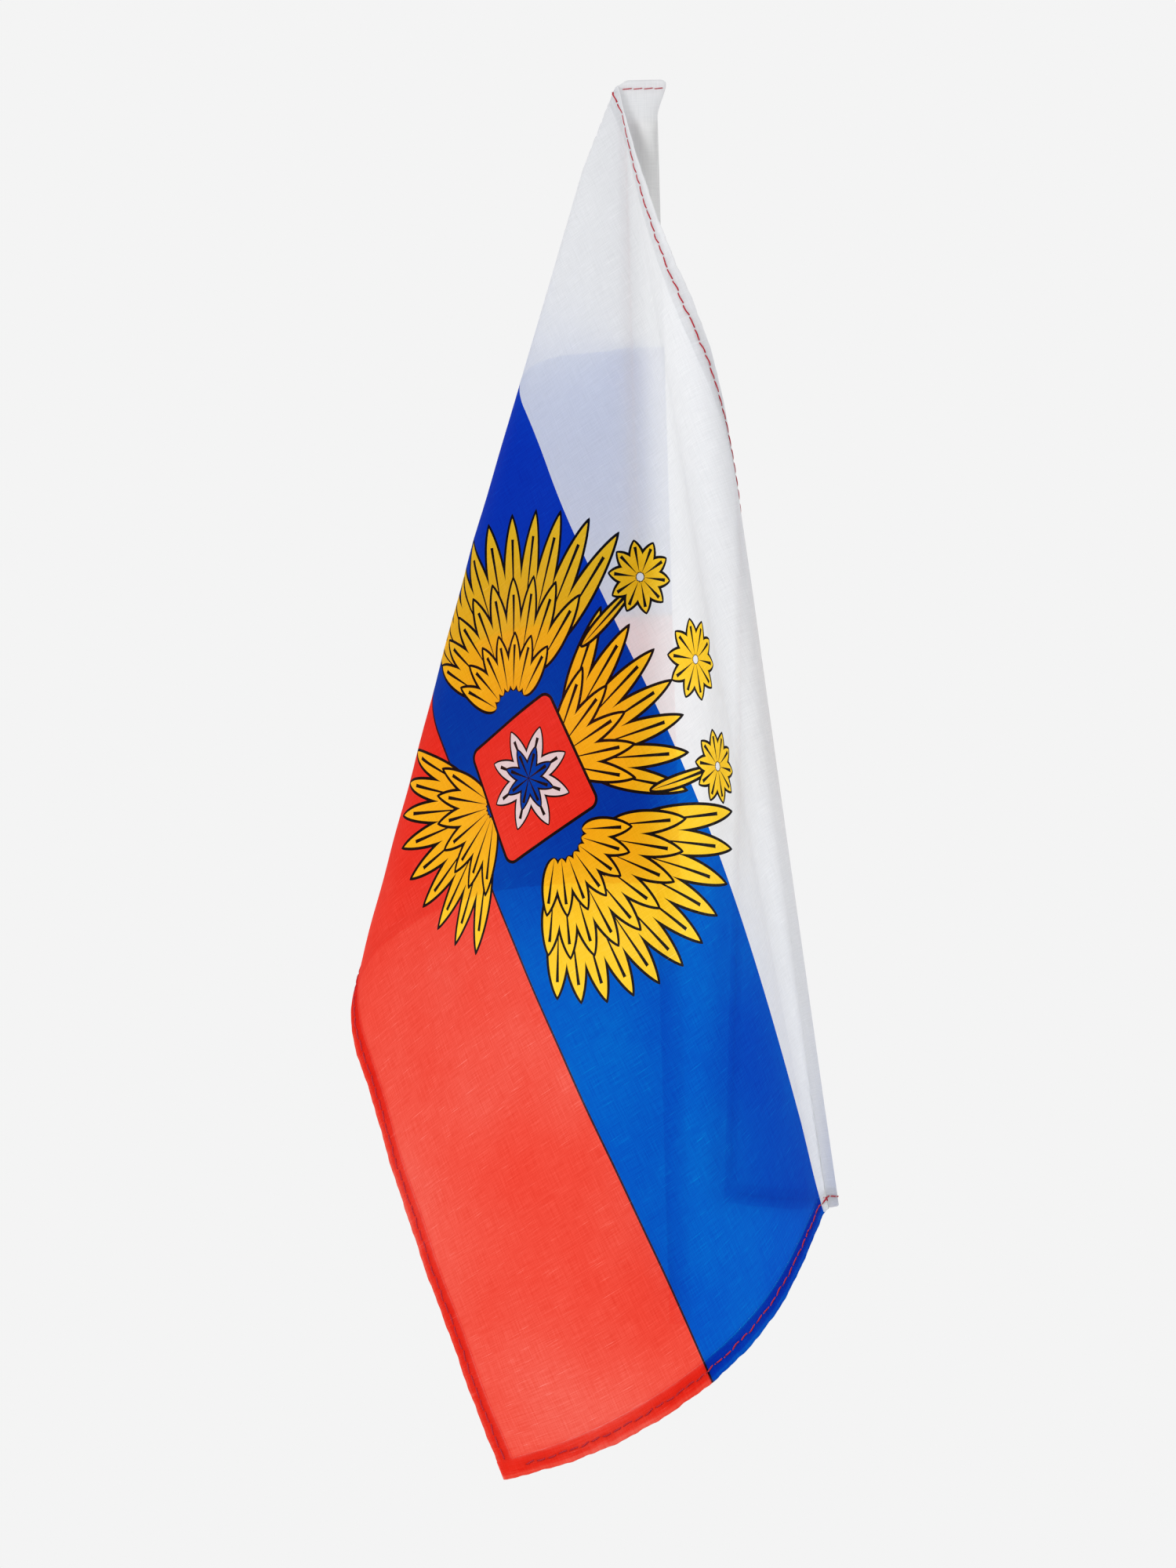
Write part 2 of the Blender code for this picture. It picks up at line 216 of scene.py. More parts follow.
stick_material = bpy.data.materials.new("drawn_plastic")
stick_material.use_nodes = True
tree = stick_material.node_tree
shader = tree.nodes["Principled BSDF"]
place = wire(tree, "ShaderNodeTexCoord").node.outputs["Object"]
along = wire(tree, "ShaderNodeVectorMath", place, (900.0, 900.0, 12.0), operation="MULTIPLY")
streaks = wire(tree, "ShaderNodeTexNoise", along, None, 1.0, 3.0)
across = wire(tree, "ShaderNodeVectorMath", place, (160.0, 160.0, 60.0), operation="MULTIPLY")
clouds = wire(tree, "ShaderNodeTexNoise", across, None, 1.0, 2.0)
parts = wire(tree, "ShaderNodeSeparateXYZ", place).node.outputs
die_line = calc(tree, "LESS_THAN", calc(tree, "ABSOLUTE", parts["X"]), DIE_LINE_HALF)
body = mixed(tree, clouds, (0.80, 0.79, 0.75), (0.88, 0.87, 0.84))
body = mixed(tree, calc(tree, "MULTIPLY", streaks, 0.35), body, (0.70, 0.69, 0.66))
tree.links.new(body, shader.inputs["Base Color"])
rough = calc(tree, "MULTIPLY_ADD", streaks, 0.25, 0.28)
tree.links.new(rough, shader.inputs["Roughness"])
relief = calc(tree, "MULTIPLY_ADD", die_line, 0.8, streaks)
bump = tree.nodes.new("ShaderNodeBump")
bump.inputs["Strength"].default_value = 0.25
bump.inputs["Distance"].default_value = 0.00003
tree.links.new(relief, bump.inputs["Height"])
tree.links.new(bump.outputs["Normal"], shader.inputs["Normal"])
shader.inputs["IOR"].default_value = 1.5
shader.inputs["Specular IOR Level"].default_value = 0.35

stick = new_piece("stick_rod", stick_mesh, stick_material, "stick_plastic", "stick")
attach(stick, "stick")

# The cloth on the sleeve's side: a triangle of thin woven polyester between the sleeve's seam and the left
# fold. It was cut as one with the rest, printed flat with three stripes and an emblem, and hemmed.
FLAG_LENGTH = 0.300
FLAG_WIDTH = 0.200
SLEEVE_FLAT = 0.012
HEM_WIDTH = 0.005
SEAM_HEADING = math.radians(78.0)
FAN = (
    (8.0, 0.0),
    (16.0, -7.0),
    (24.0, -33.0),
    (32.0, -80.0),
    (40.0, -83.0),
    (48.0, -3.0),
    (56.0, -14.0),
    (64.0, -4.0),
    (70.0, 24.0),
    (76.0, 31.0),
)
LEFT_FOLD_ANGLE = math.radians(32.0)
FLY_FAN = (
    (0.135, 0.92, -37.0),
    (0.270, 0.84, -111.0),
    (0.430, 0.68, -63.0),
)
BENDS = 20
EASE_RADIUS = 0.030
TOP_TUCK = 0.0013
TOP_TUCK_REACH = 0.004

joints = {joint["name"]: joint for joint in frame["joints"]}
seam_top = Vector(joints["hoist_swing"]["pos_m"])
panel_length = FLAG_LENGTH - SLEEVE_FLAT
last_drop = panel_length / math.tan(math.radians(FAN[-1][0]))
fly_fold_top = Vector((SLEEVE_FLAT + panel_length * FLY_FAN[1][0], 0.0))
fly_fold_end = Vector((FLAG_LENGTH, last_drop * FLY_FAN[1][1]))
left_fold_along = Vector((math.sin(LEFT_FOLD_ANGLE), math.cos(LEFT_FOLD_ANGLE)))
left_fold_top = Vector((SLEEVE_FLAT, 0.0))
fly_fold_along = (fly_fold_end - fly_fold_top).normalized()


def bending_lines():
    """Straight lines across the flat cloth, each with the turn that the cloth takes about it."""
    found = []
    reached = 0.0
    for end_angle, turn in FAN:
        for step in range(BENDS):
            spread = math.radians(reached + (end_angle - reached) * (step + 0.5) / BENDS)
            found.append((left_fold_top, Vector((math.sin(spread), math.cos(spread))), turn / BENDS))
        reached = end_angle
    along, drop = 0.0, 1.0
    for end_along, end_drop, turn in FLY_FAN:
        for step in range(BENDS):
            share = (step + 0.5) / BENDS
            top = Vector((SLEEVE_FLAT + panel_length * (along + (end_along - along) * share), 0.0))
            end = Vector((FLAG_LENGTH, last_drop * (drop + (end_drop - drop) * share)))
            found.append((top, (end - top).normalized(), turn / BENDS))
        along, drop = end_along, end_drop
    return found


def hanging_frames(lines):
    """Where each strip of cloth between two lines hangs, as a matrix from the flat cloth."""
    along = Vector((-math.cos(SEAM_HEADING), math.sin(SEAM_HEADING), 0.0))
    down = Vector((0.0, 0.0, -1.0))
    turned = Matrix((along, down, along.cross(down))).transposed().to_4x4()
    hung = Matrix.Translation(seam_top) @ turned @ Matrix.Translation((-SLEEVE_FLAT, 0.0, 0.0))
    found = [hung]
    for start, along_line, turn in lines:
        centre = Matrix.Translation(start.to_3d())
        spin = Matrix.Rotation(math.radians(turn), 4, along_line.to_3d())
        hung = hung @ centre @ spin @ centre.inverted()
        found.append(hung)
    return np.array([np.array(matrix) for matrix in found])


LINES = bending_lines()
LINE_STARTS = np.array([line[0] for line in LINES])
LINE_ALONGS = np.array([line[1] for line in LINES])
FRAMES = hanging_frames(LINES)
SOFT_FOLD = 0.0007
RUCK = 0.00025
LEFT_FOLD_PUSH = 0.0023
LEFT_FOLD_SPREAD = 0.15
FLY_FOLD_PUSH = 0.0024
FLY_FOLD_BEFORE = 0.022
FLY_FOLD_PAST = 0.006
CORNER_PUSH = 0.0022
SLACK_FROM = 0.200
SLACK_OVER = 0.100
BOW = 0.0080
BOW_FROM = 0.062
BOW_DROP = 0.002
TIP_DROP = 0.0008
DRAWN_IN = 0.0060
DRAWN_IN_AT = 0.074
DRAWN_IN_HALF = 0.028


def billows(flat):
    """How far the cloth stands off its even drape to the back: soft folds that run down from its top."""
    out = flat - np.array(left_fold_top)
    reach = np.hypot(out[:, 0], out[:, 1])
    spread = np.arctan2(out[:, 0], out[:, 1])
    length = reach / FLAG_LENGTH
    soft = np.sin(spread * 17.0 + 0.6) + 0.6 * np.sin(spread * 31.0 + length * 5.0)
    ruck = np.sin(flat[:, 0] * 190.0 + flat[:, 1] * 60.0) * np.sin(flat[:, 1] * 95.0 - 0.7)
    past_fold = (fly_fold_top.y - flat[:, 1]) * fly_fold_along.x
    past_fold += (flat[:, 0] - fly_fold_top.x) * fly_fold_along.y
    free = np.clip((-past_fold - 0.055) / 0.04, 0.0, 1.0)
    sewn_down = np.clip((flat[:, 0] - SLEEVE_FLAT) / 0.02, 0.0, 1.0)
    lift = free * sewn_down * length * (SOFT_FOLD * soft + RUCK * ruck)
    off_left_fold = np.exp(-(((spread - LEFT_FOLD_ANGLE) / LEFT_FOLD_SPREAD) ** 2))
    full = np.clip(reach / 0.025, 0.0, 1.0) * np.clip((0.185 - reach) / 0.06, -1.0, 1.0)
    fold_width = np.where(past_fold > 0.0, FLY_FOLD_PAST, FLY_FOLD_BEFORE)
    off_fly_fold = np.exp(-((past_fold / fold_width) ** 2))
    off_fly_fold *= np.clip((flat[:, 0] - 0.150) / 0.1, 0.0, 1.2)
    corner_off = np.clip((past_fold - 0.005) / 0.025, 0.0, 1.0)
    pushed = FLY_FOLD_PUSH * off_fly_fold - LEFT_FOLD_PUSH * off_left_fold * full
    return lift + pushed - CORNER_PUSH * corner_off


def stretched(flat):
    """The flat cloth with the slack that its loose fly end has taken, which bows the fly edge outwards."""
    slack = np.clip((flat[:, 0] - SLACK_FROM) / SLACK_OVER, 0.0, 1.0) ** 2
    below_fold = np.clip((flat[:, 1] - BOW_FROM) / (FLAG_WIDTH - BOW_FROM), 0.0, 1.0)
    bow = np.sin(below_fold**1.6 * math.pi)
    drawn_in = np.exp(-(((flat[:, 1] - DRAWN_IN_AT) / DRAWN_IN_HALF) ** 2))
    tip = np.clip(flat[:, 1] / FLAG_WIDTH, 0.0, 1.0) ** 8
    pull = np.stack([BOW * bow - DRAWN_IN * drawn_in, BOW_DROP * bow + TIP_DROP * tip], axis=1)
    return flat + slack[:, None] * pull


def hang(flat, lift=0.0):
    """Where points of the flat cloth lie once it hangs, lifted off it to its back."""
    flat = np.asarray(flat, float).reshape(-1, 2)
    flat = stretched(flat)
    past = np.zeros(len(flat), int)
    for start, along in zip(LINE_STARTS, LINE_ALONGS):
        aside = (flat[:, 0] - start[0]) * along[1] - (flat[:, 1] - start[1]) * along[0]
        past += aside > 0.00002
    reach = np.hypot(flat[:, 0] - SLEEVE_FLAT, flat[:, 1])
    close = np.clip(reach / EASE_RADIUS, 0.25, 1.0)
    out = np.zeros((len(flat), 4))
    out[:, :2] = flat
    out[:, 2] = lift * close + billows(flat)
    out[:, 3] = 1.0
    hung = np.einsum("nij,nj->ni", FRAMES[past], out)[:, :3]
    hung[:, 2] -= TOP_TUCK * np.clip(1.0 - reach / TOP_TUCK_REACH, 0.0, 1.0) ** 2
    return hung


def put_print(mesh, flats):
    """Gives each corner its place on the flat cloth, as a share of the flag's length."""
    layer = mesh.loops.layers.uv.new("cut_cloth")
    for face in mesh.faces:
        for loop in face.loops:
            u, v = flats[loop.vert.index]
            loop[layer].uv = (u / FLAG_LENGTH, 1.0 - v / FLAG_LENGTH)


def cut_cloth(cuts, cell=0.001):
    """The cloth inside some straight cuts, each a point and the direction to its waste, hung up."""
    mesh = bmesh.new()
    spread = Matrix.Diagonal((FLAG_LENGTH / 2, FLAG_WIDTH / 2, 1.0, 1.0))
    middle = Matrix.Translation((FLAG_LENGTH / 2, FLAG_WIDTH / 2, 0.0))
    columns, rows = round(FLAG_LENGTH / cell), round(FLAG_WIDTH / cell)
    bmesh.ops.create_grid(mesh, x_segments=columns, y_segments=rows, size=1.0, matrix=middle @ spread)
    for place, waste in cuts:
        everything = [*mesh.verts, *mesh.edges, *mesh.faces]
        bmesh.ops.bisect_plane(
            mesh,
            geom=everything,
            dist=1e-7,
            plane_co=(*place, 0.0),
            plane_no=(*waste, 0.0),
            clear_outer=True,
        )
    mesh.verts.index_update()
    flats = np.array([vert.co.xy for vert in mesh.verts])
    put_print(mesh, flats)
    for vert, place in zip(mesh.verts, hang(flats)):
        vert.co = place
    bmesh.ops.reverse_faces(mesh, faces=mesh.faces)
    return mesh


def named_group(name, inputs, outputs):
    """An empty node group with its sockets, and its input and output nodes."""
    group = bpy.data.node_groups.new(name, "ShaderNodeTree")
    for socket_name, kind, start in inputs:
        socket = group.interface.new_socket(socket_name, in_out="INPUT", socket_type=kind)
        if start is not None:
            socket.default_value = start
    for socket_name, kind in outputs:
        group.interface.new_socket(socket_name, in_out="OUTPUT", socket_type=kind)
    return group, group.nodes.new("NodeGroupInput").outputs, group.nodes.new("NodeGroupOutput").inputs


# The weave: a plain one of uneven polyester yarns. Each yarn's thickness wanders along its length and a few
# are slubbed. A large soft cloud over the cloth is painted shade, darker and lighter as if it had shallow
# wrinkles.
weave, given, result = named_group(
    "plain_weave",
    (("Place mm", "NodeSocketVector", None), ("Yarns per mm", "NodeSocketFloat", 3.8)),
    (("Height", "NodeSocketFloat"), ("Slub", "NodeSocketFloat"), ("Cloud shade", "NodeSocketFloat")),
)
heights = []
slubs = []
for stretch in ((0.04, 1.0, 1.0), (1.0, 0.04, 1.0)):
    fine = wire(weave, "ShaderNodeVectorMath", given["Place mm"], stretch, operation="MULTIPLY")
    yarn = weave.nodes.new("ShaderNodeTexNoise")
    weave.links.new(fine, yarn.inputs["Vector"])
    weave.links.new(given["Yarns per mm"], yarn.inputs["Scale"])
    yarn.inputs["Detail"].default_value = 1.0
    heights.append(yarn.outputs["Fac"])
    slub = wire(weave, "ShaderNodeTexNoise", fine, None, 3.6, 1.0)
    slubs.append(calc(weave, "SMOOTH_MAX", calc(weave, "SUBTRACT", slub, 0.64), 0.0, 0.02))
weave.links.new(calc(weave, "ADD", *heights), result["Height"])
slub = calc(weave, "MULTIPLY_ADD", slubs[0], 0.2, slubs[1])
weave.links.new(calc(weave, "MULTIPLY", slub, 6.0), result["Slub"])
# A large soft cloud of painted shade, standing in for the soft shading of shallow wrinkles.
cloud_shade = wire(weave, "ShaderNodeTexNoise", given["Place mm"], None, 0.016, 3.0)
weave.links.new(cloud_shade, result["Cloud shade"])

# The print: white, blue and red stripes, each a third of the width, and an emblem in gold with dark lines:
# sprays of leaves round a red badge with a star. The dark line under the blue is where two screens overlap.
WHITE = (0.70, 0.71, 0.73)
BLUE = (0.0, 0.024, 0.40)
RED = (0.74, 0.015, 0.006)
GOLD = (0.94, 0.54, 0.0022)
OCHRE = (0.84, 0.42, 0.0012)
INK = (0.0003, 0.0002, 0.0002)
STRIPE = 1000.0 * FLAG_WIDTH / 3
EMBLEM_CENTRE = (150.0, 109.0)

print_group, given, result = named_group(
    "flag_print",
    (("Place mm", "NodeSocketVector", None),),
    (("Color", "NodeSocketColor"), ("Ink", "NodeSocketFloat")),
)


def over_print(colour, mask, paint):
    """A colour with paint over it where the mask is 1."""
    return mixed(print_group, mask, colour, paint)


def leaf_fan(x, y, centre, middle, step, half_count, near, far, width, taper=0.0, line=0.76):
    """A fan of leaves round a centre: its area, the gold in it, and how far along its leaf a point is."""
    dx = calc(print_group, "SUBTRACT", x, centre[0])
    dy = calc(print_group, "SUBTRACT", y, centre[1])
    squared = calc(print_group, "MULTIPLY_ADD", dx, dx, calc(print_group, "MULTIPLY", dy, dy))
    reach = calc(print_group, "SQRT", squared)
    turn = calc(print_group, "SUBTRACT", calc(print_group, "ARCTAN2", dy, dx), math.radians(middle))
    turn = calc(print_group, "WRAP", turn, math.pi, -math.pi)
    number = calc(print_group, "ROUND", calc(print_group, "DIVIDE", turn, math.radians(step)))
    number = calc(print_group, "MINIMUM", calc(print_group, "MAXIMUM", number, -half_count), half_count)
    off = calc(print_group, "MULTIPLY_ADD", number, -math.radians(step), turn)
    along = calc(print_group, "MULTIPLY", reach, calc(print_group, "COSINE", off))
    aside = calc(print_group, "MULTIPLY", reach, calc(print_group, "SINE", off))
    aside = calc(print_group, "ABSOLUTE", aside)
    length = calc(print_group, "MULTIPLY_ADD", number, taper, far - near)
    share = calc(print_group, "DIVIDE", calc(print_group, "SUBTRACT", along, near), length)
    share.node.use_clamp = True
    rising = calc(print_group, "POWER", share, 0.5)
    falling = calc(print_group, "POWER", calc(print_group, "SUBTRACT", 1.0, share), 0.75)
    half = calc(print_group, "MULTIPLY", calc(print_group, "MULTIPLY", rising, falling), 2.3 * width)
    inside = calc(print_group, "SUBTRACT", half, aside)
    whole = calc(print_group, "GREATER_THAN", inside, 0.0)
    gold = calc(print_group, "GREATER_THAN", inside, line)
    vein = calc(print_group, "MULTIPLY", share, calc(print_group, "LESS_THAN", share, 0.78))
    vein = calc(print_group, "LESS_THAN", aside, calc(print_group, "MULTIPLY", vein, 0.6))
    gold = calc(print_group, "MULTIPLY", gold, calc(print_group, "SUBTRACT", 1.0, vein))
    return whole, gold, share


print_place = wire(print_group, "ShaderNodeSeparateXYZ", given["Place mm"])
across, down = print_place.node.outputs["X"], print_place.node.outputs["Y"]
past_white = calc(print_group, "GREATER_THAN", down, STRIPE)
past_blue = calc(print_group, "GREATER_THAN", down, 2 * STRIPE)
colour = over_print(over_print(WHITE, past_white, BLUE), past_blue, RED)
edge_line = calc(print_group, "COMPARE", down, 2 * STRIPE, 0.28)
colour = over_print(colour, edge_line, (0.004, 0.001, 0.002))

x = calc(print_group, "ABSOLUTE", calc(print_group, "SUBTRACT", across, EMBLEM_CENTRE[0]))
y = calc(print_group, "SUBTRACT", EMBLEM_CENTRE[1], down)
emblem_fans = (
    # centre, middle of the fan, step and half count, then each leaf from, to, half its width, and taper
    ((16.0, 2.0), 18.0, 9.5, 5, 22.0, 50.0, 3.7, 1.5),
    ((16.0, 2.0), 15.0, 12.5, 4, 15.0, 35.0, 3.4, 0.8),
    ((16.0, 2.0), 12.0, 17.0, 3, 7.0, 22.0, 3.0, 0.0),
    ((0.0, -14.0), -90.0, 13.0, 4, 10.0, 38.0, 3.3, 0.0),
    ((0.0, -14.0), -90.0, 18.0, 3, 3.0, 23.0, 3.1, 0.0),
    ((0.0, 8.0), 90.0, 13.0, 3, 12.0, 42.0, 3.4, 0.0),
    ((0.0, 8.0), 90.0, 19.0, 2, 4.0, 26.0, 3.1, 0.0),
    ((22.0, 36.0), 76.0, 20.0, 0, -6.0, 18.0, 2.0, 0.0),
    ((0.0, 60.0), 90.0, 36.0, 5, 1.0, 10.5, 2.9, 0.0),
    ((27.0, 54.0), 90.0, 36.0, 5, 1.0, 9.5, 2.6, 0.0),
)
ink_mask = None
for fan in emblem_fans:
    whole, gold, share = leaf_fan(x, y, *fan)
    shaded_gold = mixed(print_group, share, OCHRE, GOLD)
    colour = over_print(over_print(colour, whole, INK), gold, shaded_gold)
    ink_mask = whole if ink_mask is None else calc(print_group, "MAXIMUM", ink_mask, whole)


def badge(half, rounding):
    """How far inside a square with round corners a point is."""
    dx = calc(print_group, "MAXIMUM", calc(print_group, "SUBTRACT", x, half - rounding), 0.0)
    dy = calc(print_group, "ABSOLUTE", y)
    dy = calc(print_group, "MAXIMUM", calc(print_group, "SUBTRACT", dy, half - rounding), 0.0)
    squared = calc(print_group, "MULTIPLY_ADD", dx, dx, calc(print_group, "MULTIPLY", dy, dy))
    return calc(print_group, "SUBTRACT", rounding, calc(print_group, "SQRT", squared))


badge_depth = badge(16.5, 3.0)
badge_whole = calc(print_group, "GREATER_THAN", badge_depth, 0.0)
badge_red = calc(print_group, "GREATER_THAN", badge_depth, 0.8)
colour = over_print(over_print(colour, badge_whole, INK), badge_red, RED)
for start, far, width, paint in ((2.0, 13.5, 3.0, WHITE), (1.0, 8.5, 1.9, BLUE)):
    whole, inner, share = leaf_fan(x, y, (0.0, 0.0), 90.0, 45.0, 4, start - 2.0, far, width, 0.0, 0.5)
    colour = over_print(over_print(colour, whole, INK), inner, paint)
print_group.links.new(colour, result["Color"])
print_group.links.new(calc(print_group, "MAXIMUM", ink_mask, badge_whole), result["Ink"])


# Light that comes through the print is paler than light off it, and a little of it comes straight.
THIN_PRINT = 0.4
THIN_PRINT_IN_HEM = 0.22
SEEN_STRAIGHT = 0.12


def printed_cloth(name, through, thin_print):
    """The printed cloth: a matt weave that lets part of the light through, some of it straight."""
    material = bpy.data.materials.new(name)
    material.use_nodes = True
    tree = material.node_tree
    shader = tree.nodes["Principled BSDF"]
    output = tree.nodes["Material Output"]
    flat = wire(tree, "ShaderNodeUVMap", uv_map="cut_cloth")
    flat = wire(tree, "ShaderNodeVectorMath", flat, (0.0, -1.0, 0.0), operation="ADD")
    size = 1000.0 * FLAG_LENGTH
    flat = wire(tree, "ShaderNodeVectorMath", flat, (size, -size, 1.0), operation="MULTIPLY")
    prints = tree.nodes.new("ShaderNodeGroup")
    prints.node_tree = print_group
    tree.links.new(flat, prints.inputs["Place mm"])
    yarns = tree.nodes.new("ShaderNodeGroup")
    yarns.node_tree = weave
    tree.links.new(flat, yarns.inputs["Place mm"])
    # The print's colour is scaled by the weave's relief, its slubs and the cloud of painted shade.
    shade = calc(tree, "MULTIPLY_ADD", yarns.outputs["Height"], 0.16, 1.0 - 0.16)
    shade = calc(tree, "MULTIPLY_ADD", yarns.outputs["Slub"], 0.12, shade)
    shade = calc(tree, "MULTIPLY_ADD", yarns.outputs["Cloud shade"], 0.06, calc(tree, "SUBTRACT", shade, 0.03))
    tone = tree.nodes.new("ShaderNodeVectorMath")
    tone.operation = "SCALE"
    tree.links.new(prints.outputs["Color"], tone.inputs[0])
    tree.links.new(shade, tone.inputs["Scale"])
    colour = tone.outputs[0]
    tree.links.new(colour, shader.inputs["Base Color"])
    rough = calc(tree, "MULTIPLY_ADD", prints.outputs["Ink"], -0.08, 0.82)
    tree.links.new(rough, shader.inputs["Roughness"])
    shader.inputs["Specular IOR Level"].default_value = 0.06
    shader.inputs["Sheen Weight"].default_value = 0.02
    shader.inputs["Sheen Roughness"].default_value = 0.5
    bump = tree.nodes.new("ShaderNodeBump")
    bump.inputs["Strength"].default_value = 0.35
    bump.inputs["Distance"].default_value = 0.00008
    tree.links.new(yarns.outputs["Height"], bump.inputs["Height"])
    tree.links.new(bump.outputs["Normal"], shader.inputs["Normal"])
    # How pale the light through the print is, with the cloud of painted shade in it too.
    paling_with_shade = calc(tree, "MULTIPLY_ADD", yarns.outputs["Cloud shade"], -0.50, thin_print + 0.265 + 0.18)
    paling_with_shade = calc(tree, "MULTIPLY_ADD", yarns.outputs["Height"], -0.18, paling_with_shade)
    paling_with_shade = calc(tree, "MULTIPLY_ADD", yarns.outputs["Slub"], -0.20, paling_with_shade)
    paler = wire(tree, "ShaderNodeGamma", colour, paling_with_shade)
    glow = wire(tree, "ShaderNodeBsdfTranslucent", paler)
    straight = wire(tree, "ShaderNodeBsdfTransparent", paler)
    lit = wire(tree, "ShaderNodeMixShader", through, shader.outputs["BSDF"], glow)
    seen = wire(tree, "ShaderNodeMixShader", SEEN_STRAIGHT, lit, straight)
    tree.links.new(seen, output.inputs["Surface"])
    return material


cloth = printed_cloth("printed_polyester", 0.44, THIN_PRINT)
hem_cloth = printed_cloth("printed_polyester_hem", 0.58, THIN_PRINT_IN_HEM)

past_left_fold = Vector((left_fold_along.y, -left_fold_along.x))
hoist_mesh = cut_cloth(
    (
        ((SLEEVE_FLAT, 0.0), (-1.0, 0.0)),
        (left_fold_top, past_left_fold),
        ((0.0, FLAG_WIDTH - HEM_WIDTH), (0.0, 1.0)),
    )
)
hoist_cloth = new_piece("hoist_cloth", hoist_mesh, cloth, "cloth", "hoist_panel")
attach(hoist_cloth, "hoist")


def bend_between(piece, joint_name, towards):
    """Bakes the piece's place into its mesh; the joint's place and axis and the way across it are worked out
    but not used.
    """
    joint = joints[joint_name]
    start = Vector(joint["pos_m"])
    along = Vector(joint["axis"]).normalized()
    across = (towards - towards.project(along)).normalized()
    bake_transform(piece)


past_fly_fold = Vector((fly_fold_along.y, -fly_fold_along.x))
top_inside = ((0.0, HEM_WIDTH), (0.0, -1.0))
bottom_inside = ((0.0, FLAG_WIDTH - HEM_WIDTH), (0.0, 1.0))
fly_inside = ((FLAG_LENGTH - HEM_WIDTH, 0.0), (1.0, 0.0))
front_mesh = cut_cloth(
    (
        (left_fold_top, -past_left_fold),
        (fly_fold_top, past_fly_fold),
        top_inside,
        bottom_inside,
        fly_inside,
    )
)
front_cloth = new_piece("front_cloth", front_mesh, cloth, "cloth", "front_panel")
bend_between(front_cloth, "front_fold", Vector((0.0, -1.0, 0.0)))

# The upper corner of the fly, folded back behind the front, where it hangs close to the cloth in front of
# it. It is held only by its fold.
corner_mesh = cut_cloth(((fly_fold_top, -past_fly_fold), top_inside, fly_inside))
corner_cloth = new_piece("corner_cloth", corner_mesh, cloth, "cloth", "corner_panel")
bend_between(corner_cloth, "fly_fold", Vector((0.0, 1.0, 0.0)))

# The hems: the cloth's edge turned twice to the back, 5 mm wide, and drawn in a little by its stitches.
# They are three layers thick, so they show darker. Each is cut at the folds, as the cloth is.
HEM_RISE = 0.00055
HEM_ROUND = 0.00028
HEM_STATION = 0.00085
HEM_FRONT = (0.005, 0.0043, 0.0035, 0.0026, 0.0018, 0.001, 0.0006)
HEM_BACK = (0.0006, 0.001, 0.0018, 0.0026, 0.0035, 0.0043, 0.0048)
HEM_TUCKED = ((0.005, 0.75), (0.0048, 0.5), (0.003, 0.45), (0.001, 0.5))
STITCH_PITCH = 0.0034
STITCH_INSET = 0.0026
STITCH_PULL = 0.0012
PUCKER = 0.00009
EDGE_WANDER = 0.0001
hem_turn = [math.radians(angle) for angle in (-90.0, -54.0, -18.0, 18.0, 54.0, 90.0)]
HEM_PROFILE = [(inset, 0.0) for inset in HEM_FRONT]
for angle in hem_turn:
    HEM_PROFILE.append((HEM_ROUND * (1.0 - math.cos(angle)), HEM_RISE / 2 * (1.0 + math.sin(angle))))
HEM_PROFILE += [(inset, HEM_RISE) for inset in HEM_BACK]
HEM_PROFILE += [(inset, HEM_RISE * share) for inset, share in HEM_TUCKED]
EDGES = {
    "top": (Vector((0.0, 0.0)), Vector((1.0, 0.0)), Vector((0.0, 1.0))),
    "bottom": (Vector((0.0, FLAG_WIDTH)), Vector((1.0, 0.0)), Vector((0.0, -1.0))),
    "fly": (Vector((FLAG_LENGTH, 0.0)), Vector((0.0, 1.0)), Vector((-1.0, 0.0))),
}


def crossing(edge, inset, limit):
    """How far along an edge a cut lies at some inset. A cut is a distance, or a point and a direction."""
    if isinstance(limit, float):
        return limit
    origin, along, inward = EDGES[edge]
    place, direction = limit
    from_origin = place - origin - inward * inset
    share = -from_origin.dot(inward) / direction.dot(inward)
    return (from_origin + direction * share).dot(along)


def sewn_hem(edge, start, end):
    """A turned hem along an edge of the cloth between two cuts."""
    origin, along, inward = EDGES[edge]
    middle = crossing(edge, STITCH_INSET, end) - crossing(edge, STITCH_INSET, start)
    stations = max(4, round(middle / HEM_STATION))
    flats, lifts = [], []
    for station in range(stations + 1):
        for inset, lift in HEM_PROFILE:
            low, high = crossing(edge, inset, start), crossing(edge, inset, end)
            way = low + (high - low) * station / stations
            near = max(0.0, 1.0 - 2.0 * inset / HEM_WIDTH)
            wander = math.sin(way * 410.0) + 0.7 * math.sin(way * 970.0 + 1.3)
            wander += 0.5 * math.sin(way * 1850.0)
            drawn = math.exp(-(((inset - STITCH_INSET) / STITCH_PULL) ** 2))
            stitch = math.cos(math.tau * way / STITCH_PITCH)
            towards_middle = 1.0 if lift < HEM_RISE / 2 else -1.0
            flats.append(origin + along * way + inward * (inset + EDGE_WANDER * wander * near))
            lifts.append(lift + PUCKER * drawn * stitch * towards_middle)
    mesh = bmesh.new()
    verts = [mesh.verts.new(place) for place in hang(flats, np.array(lifts))]
    mesh.verts.index_update()
    wide = len(HEM_PROFILE)
    for station in range(stations):
        for step in range(wide - 1):
            a = station * wide + step
            mesh.faces.new((verts[a], verts[a + 1], verts[a + 1 + wide], verts[a + wide]))
    put_print(mesh, flats)
    if edge == "bottom":
        bmesh.ops.reverse_faces(mesh, faces=mesh.faces)
    return mesh


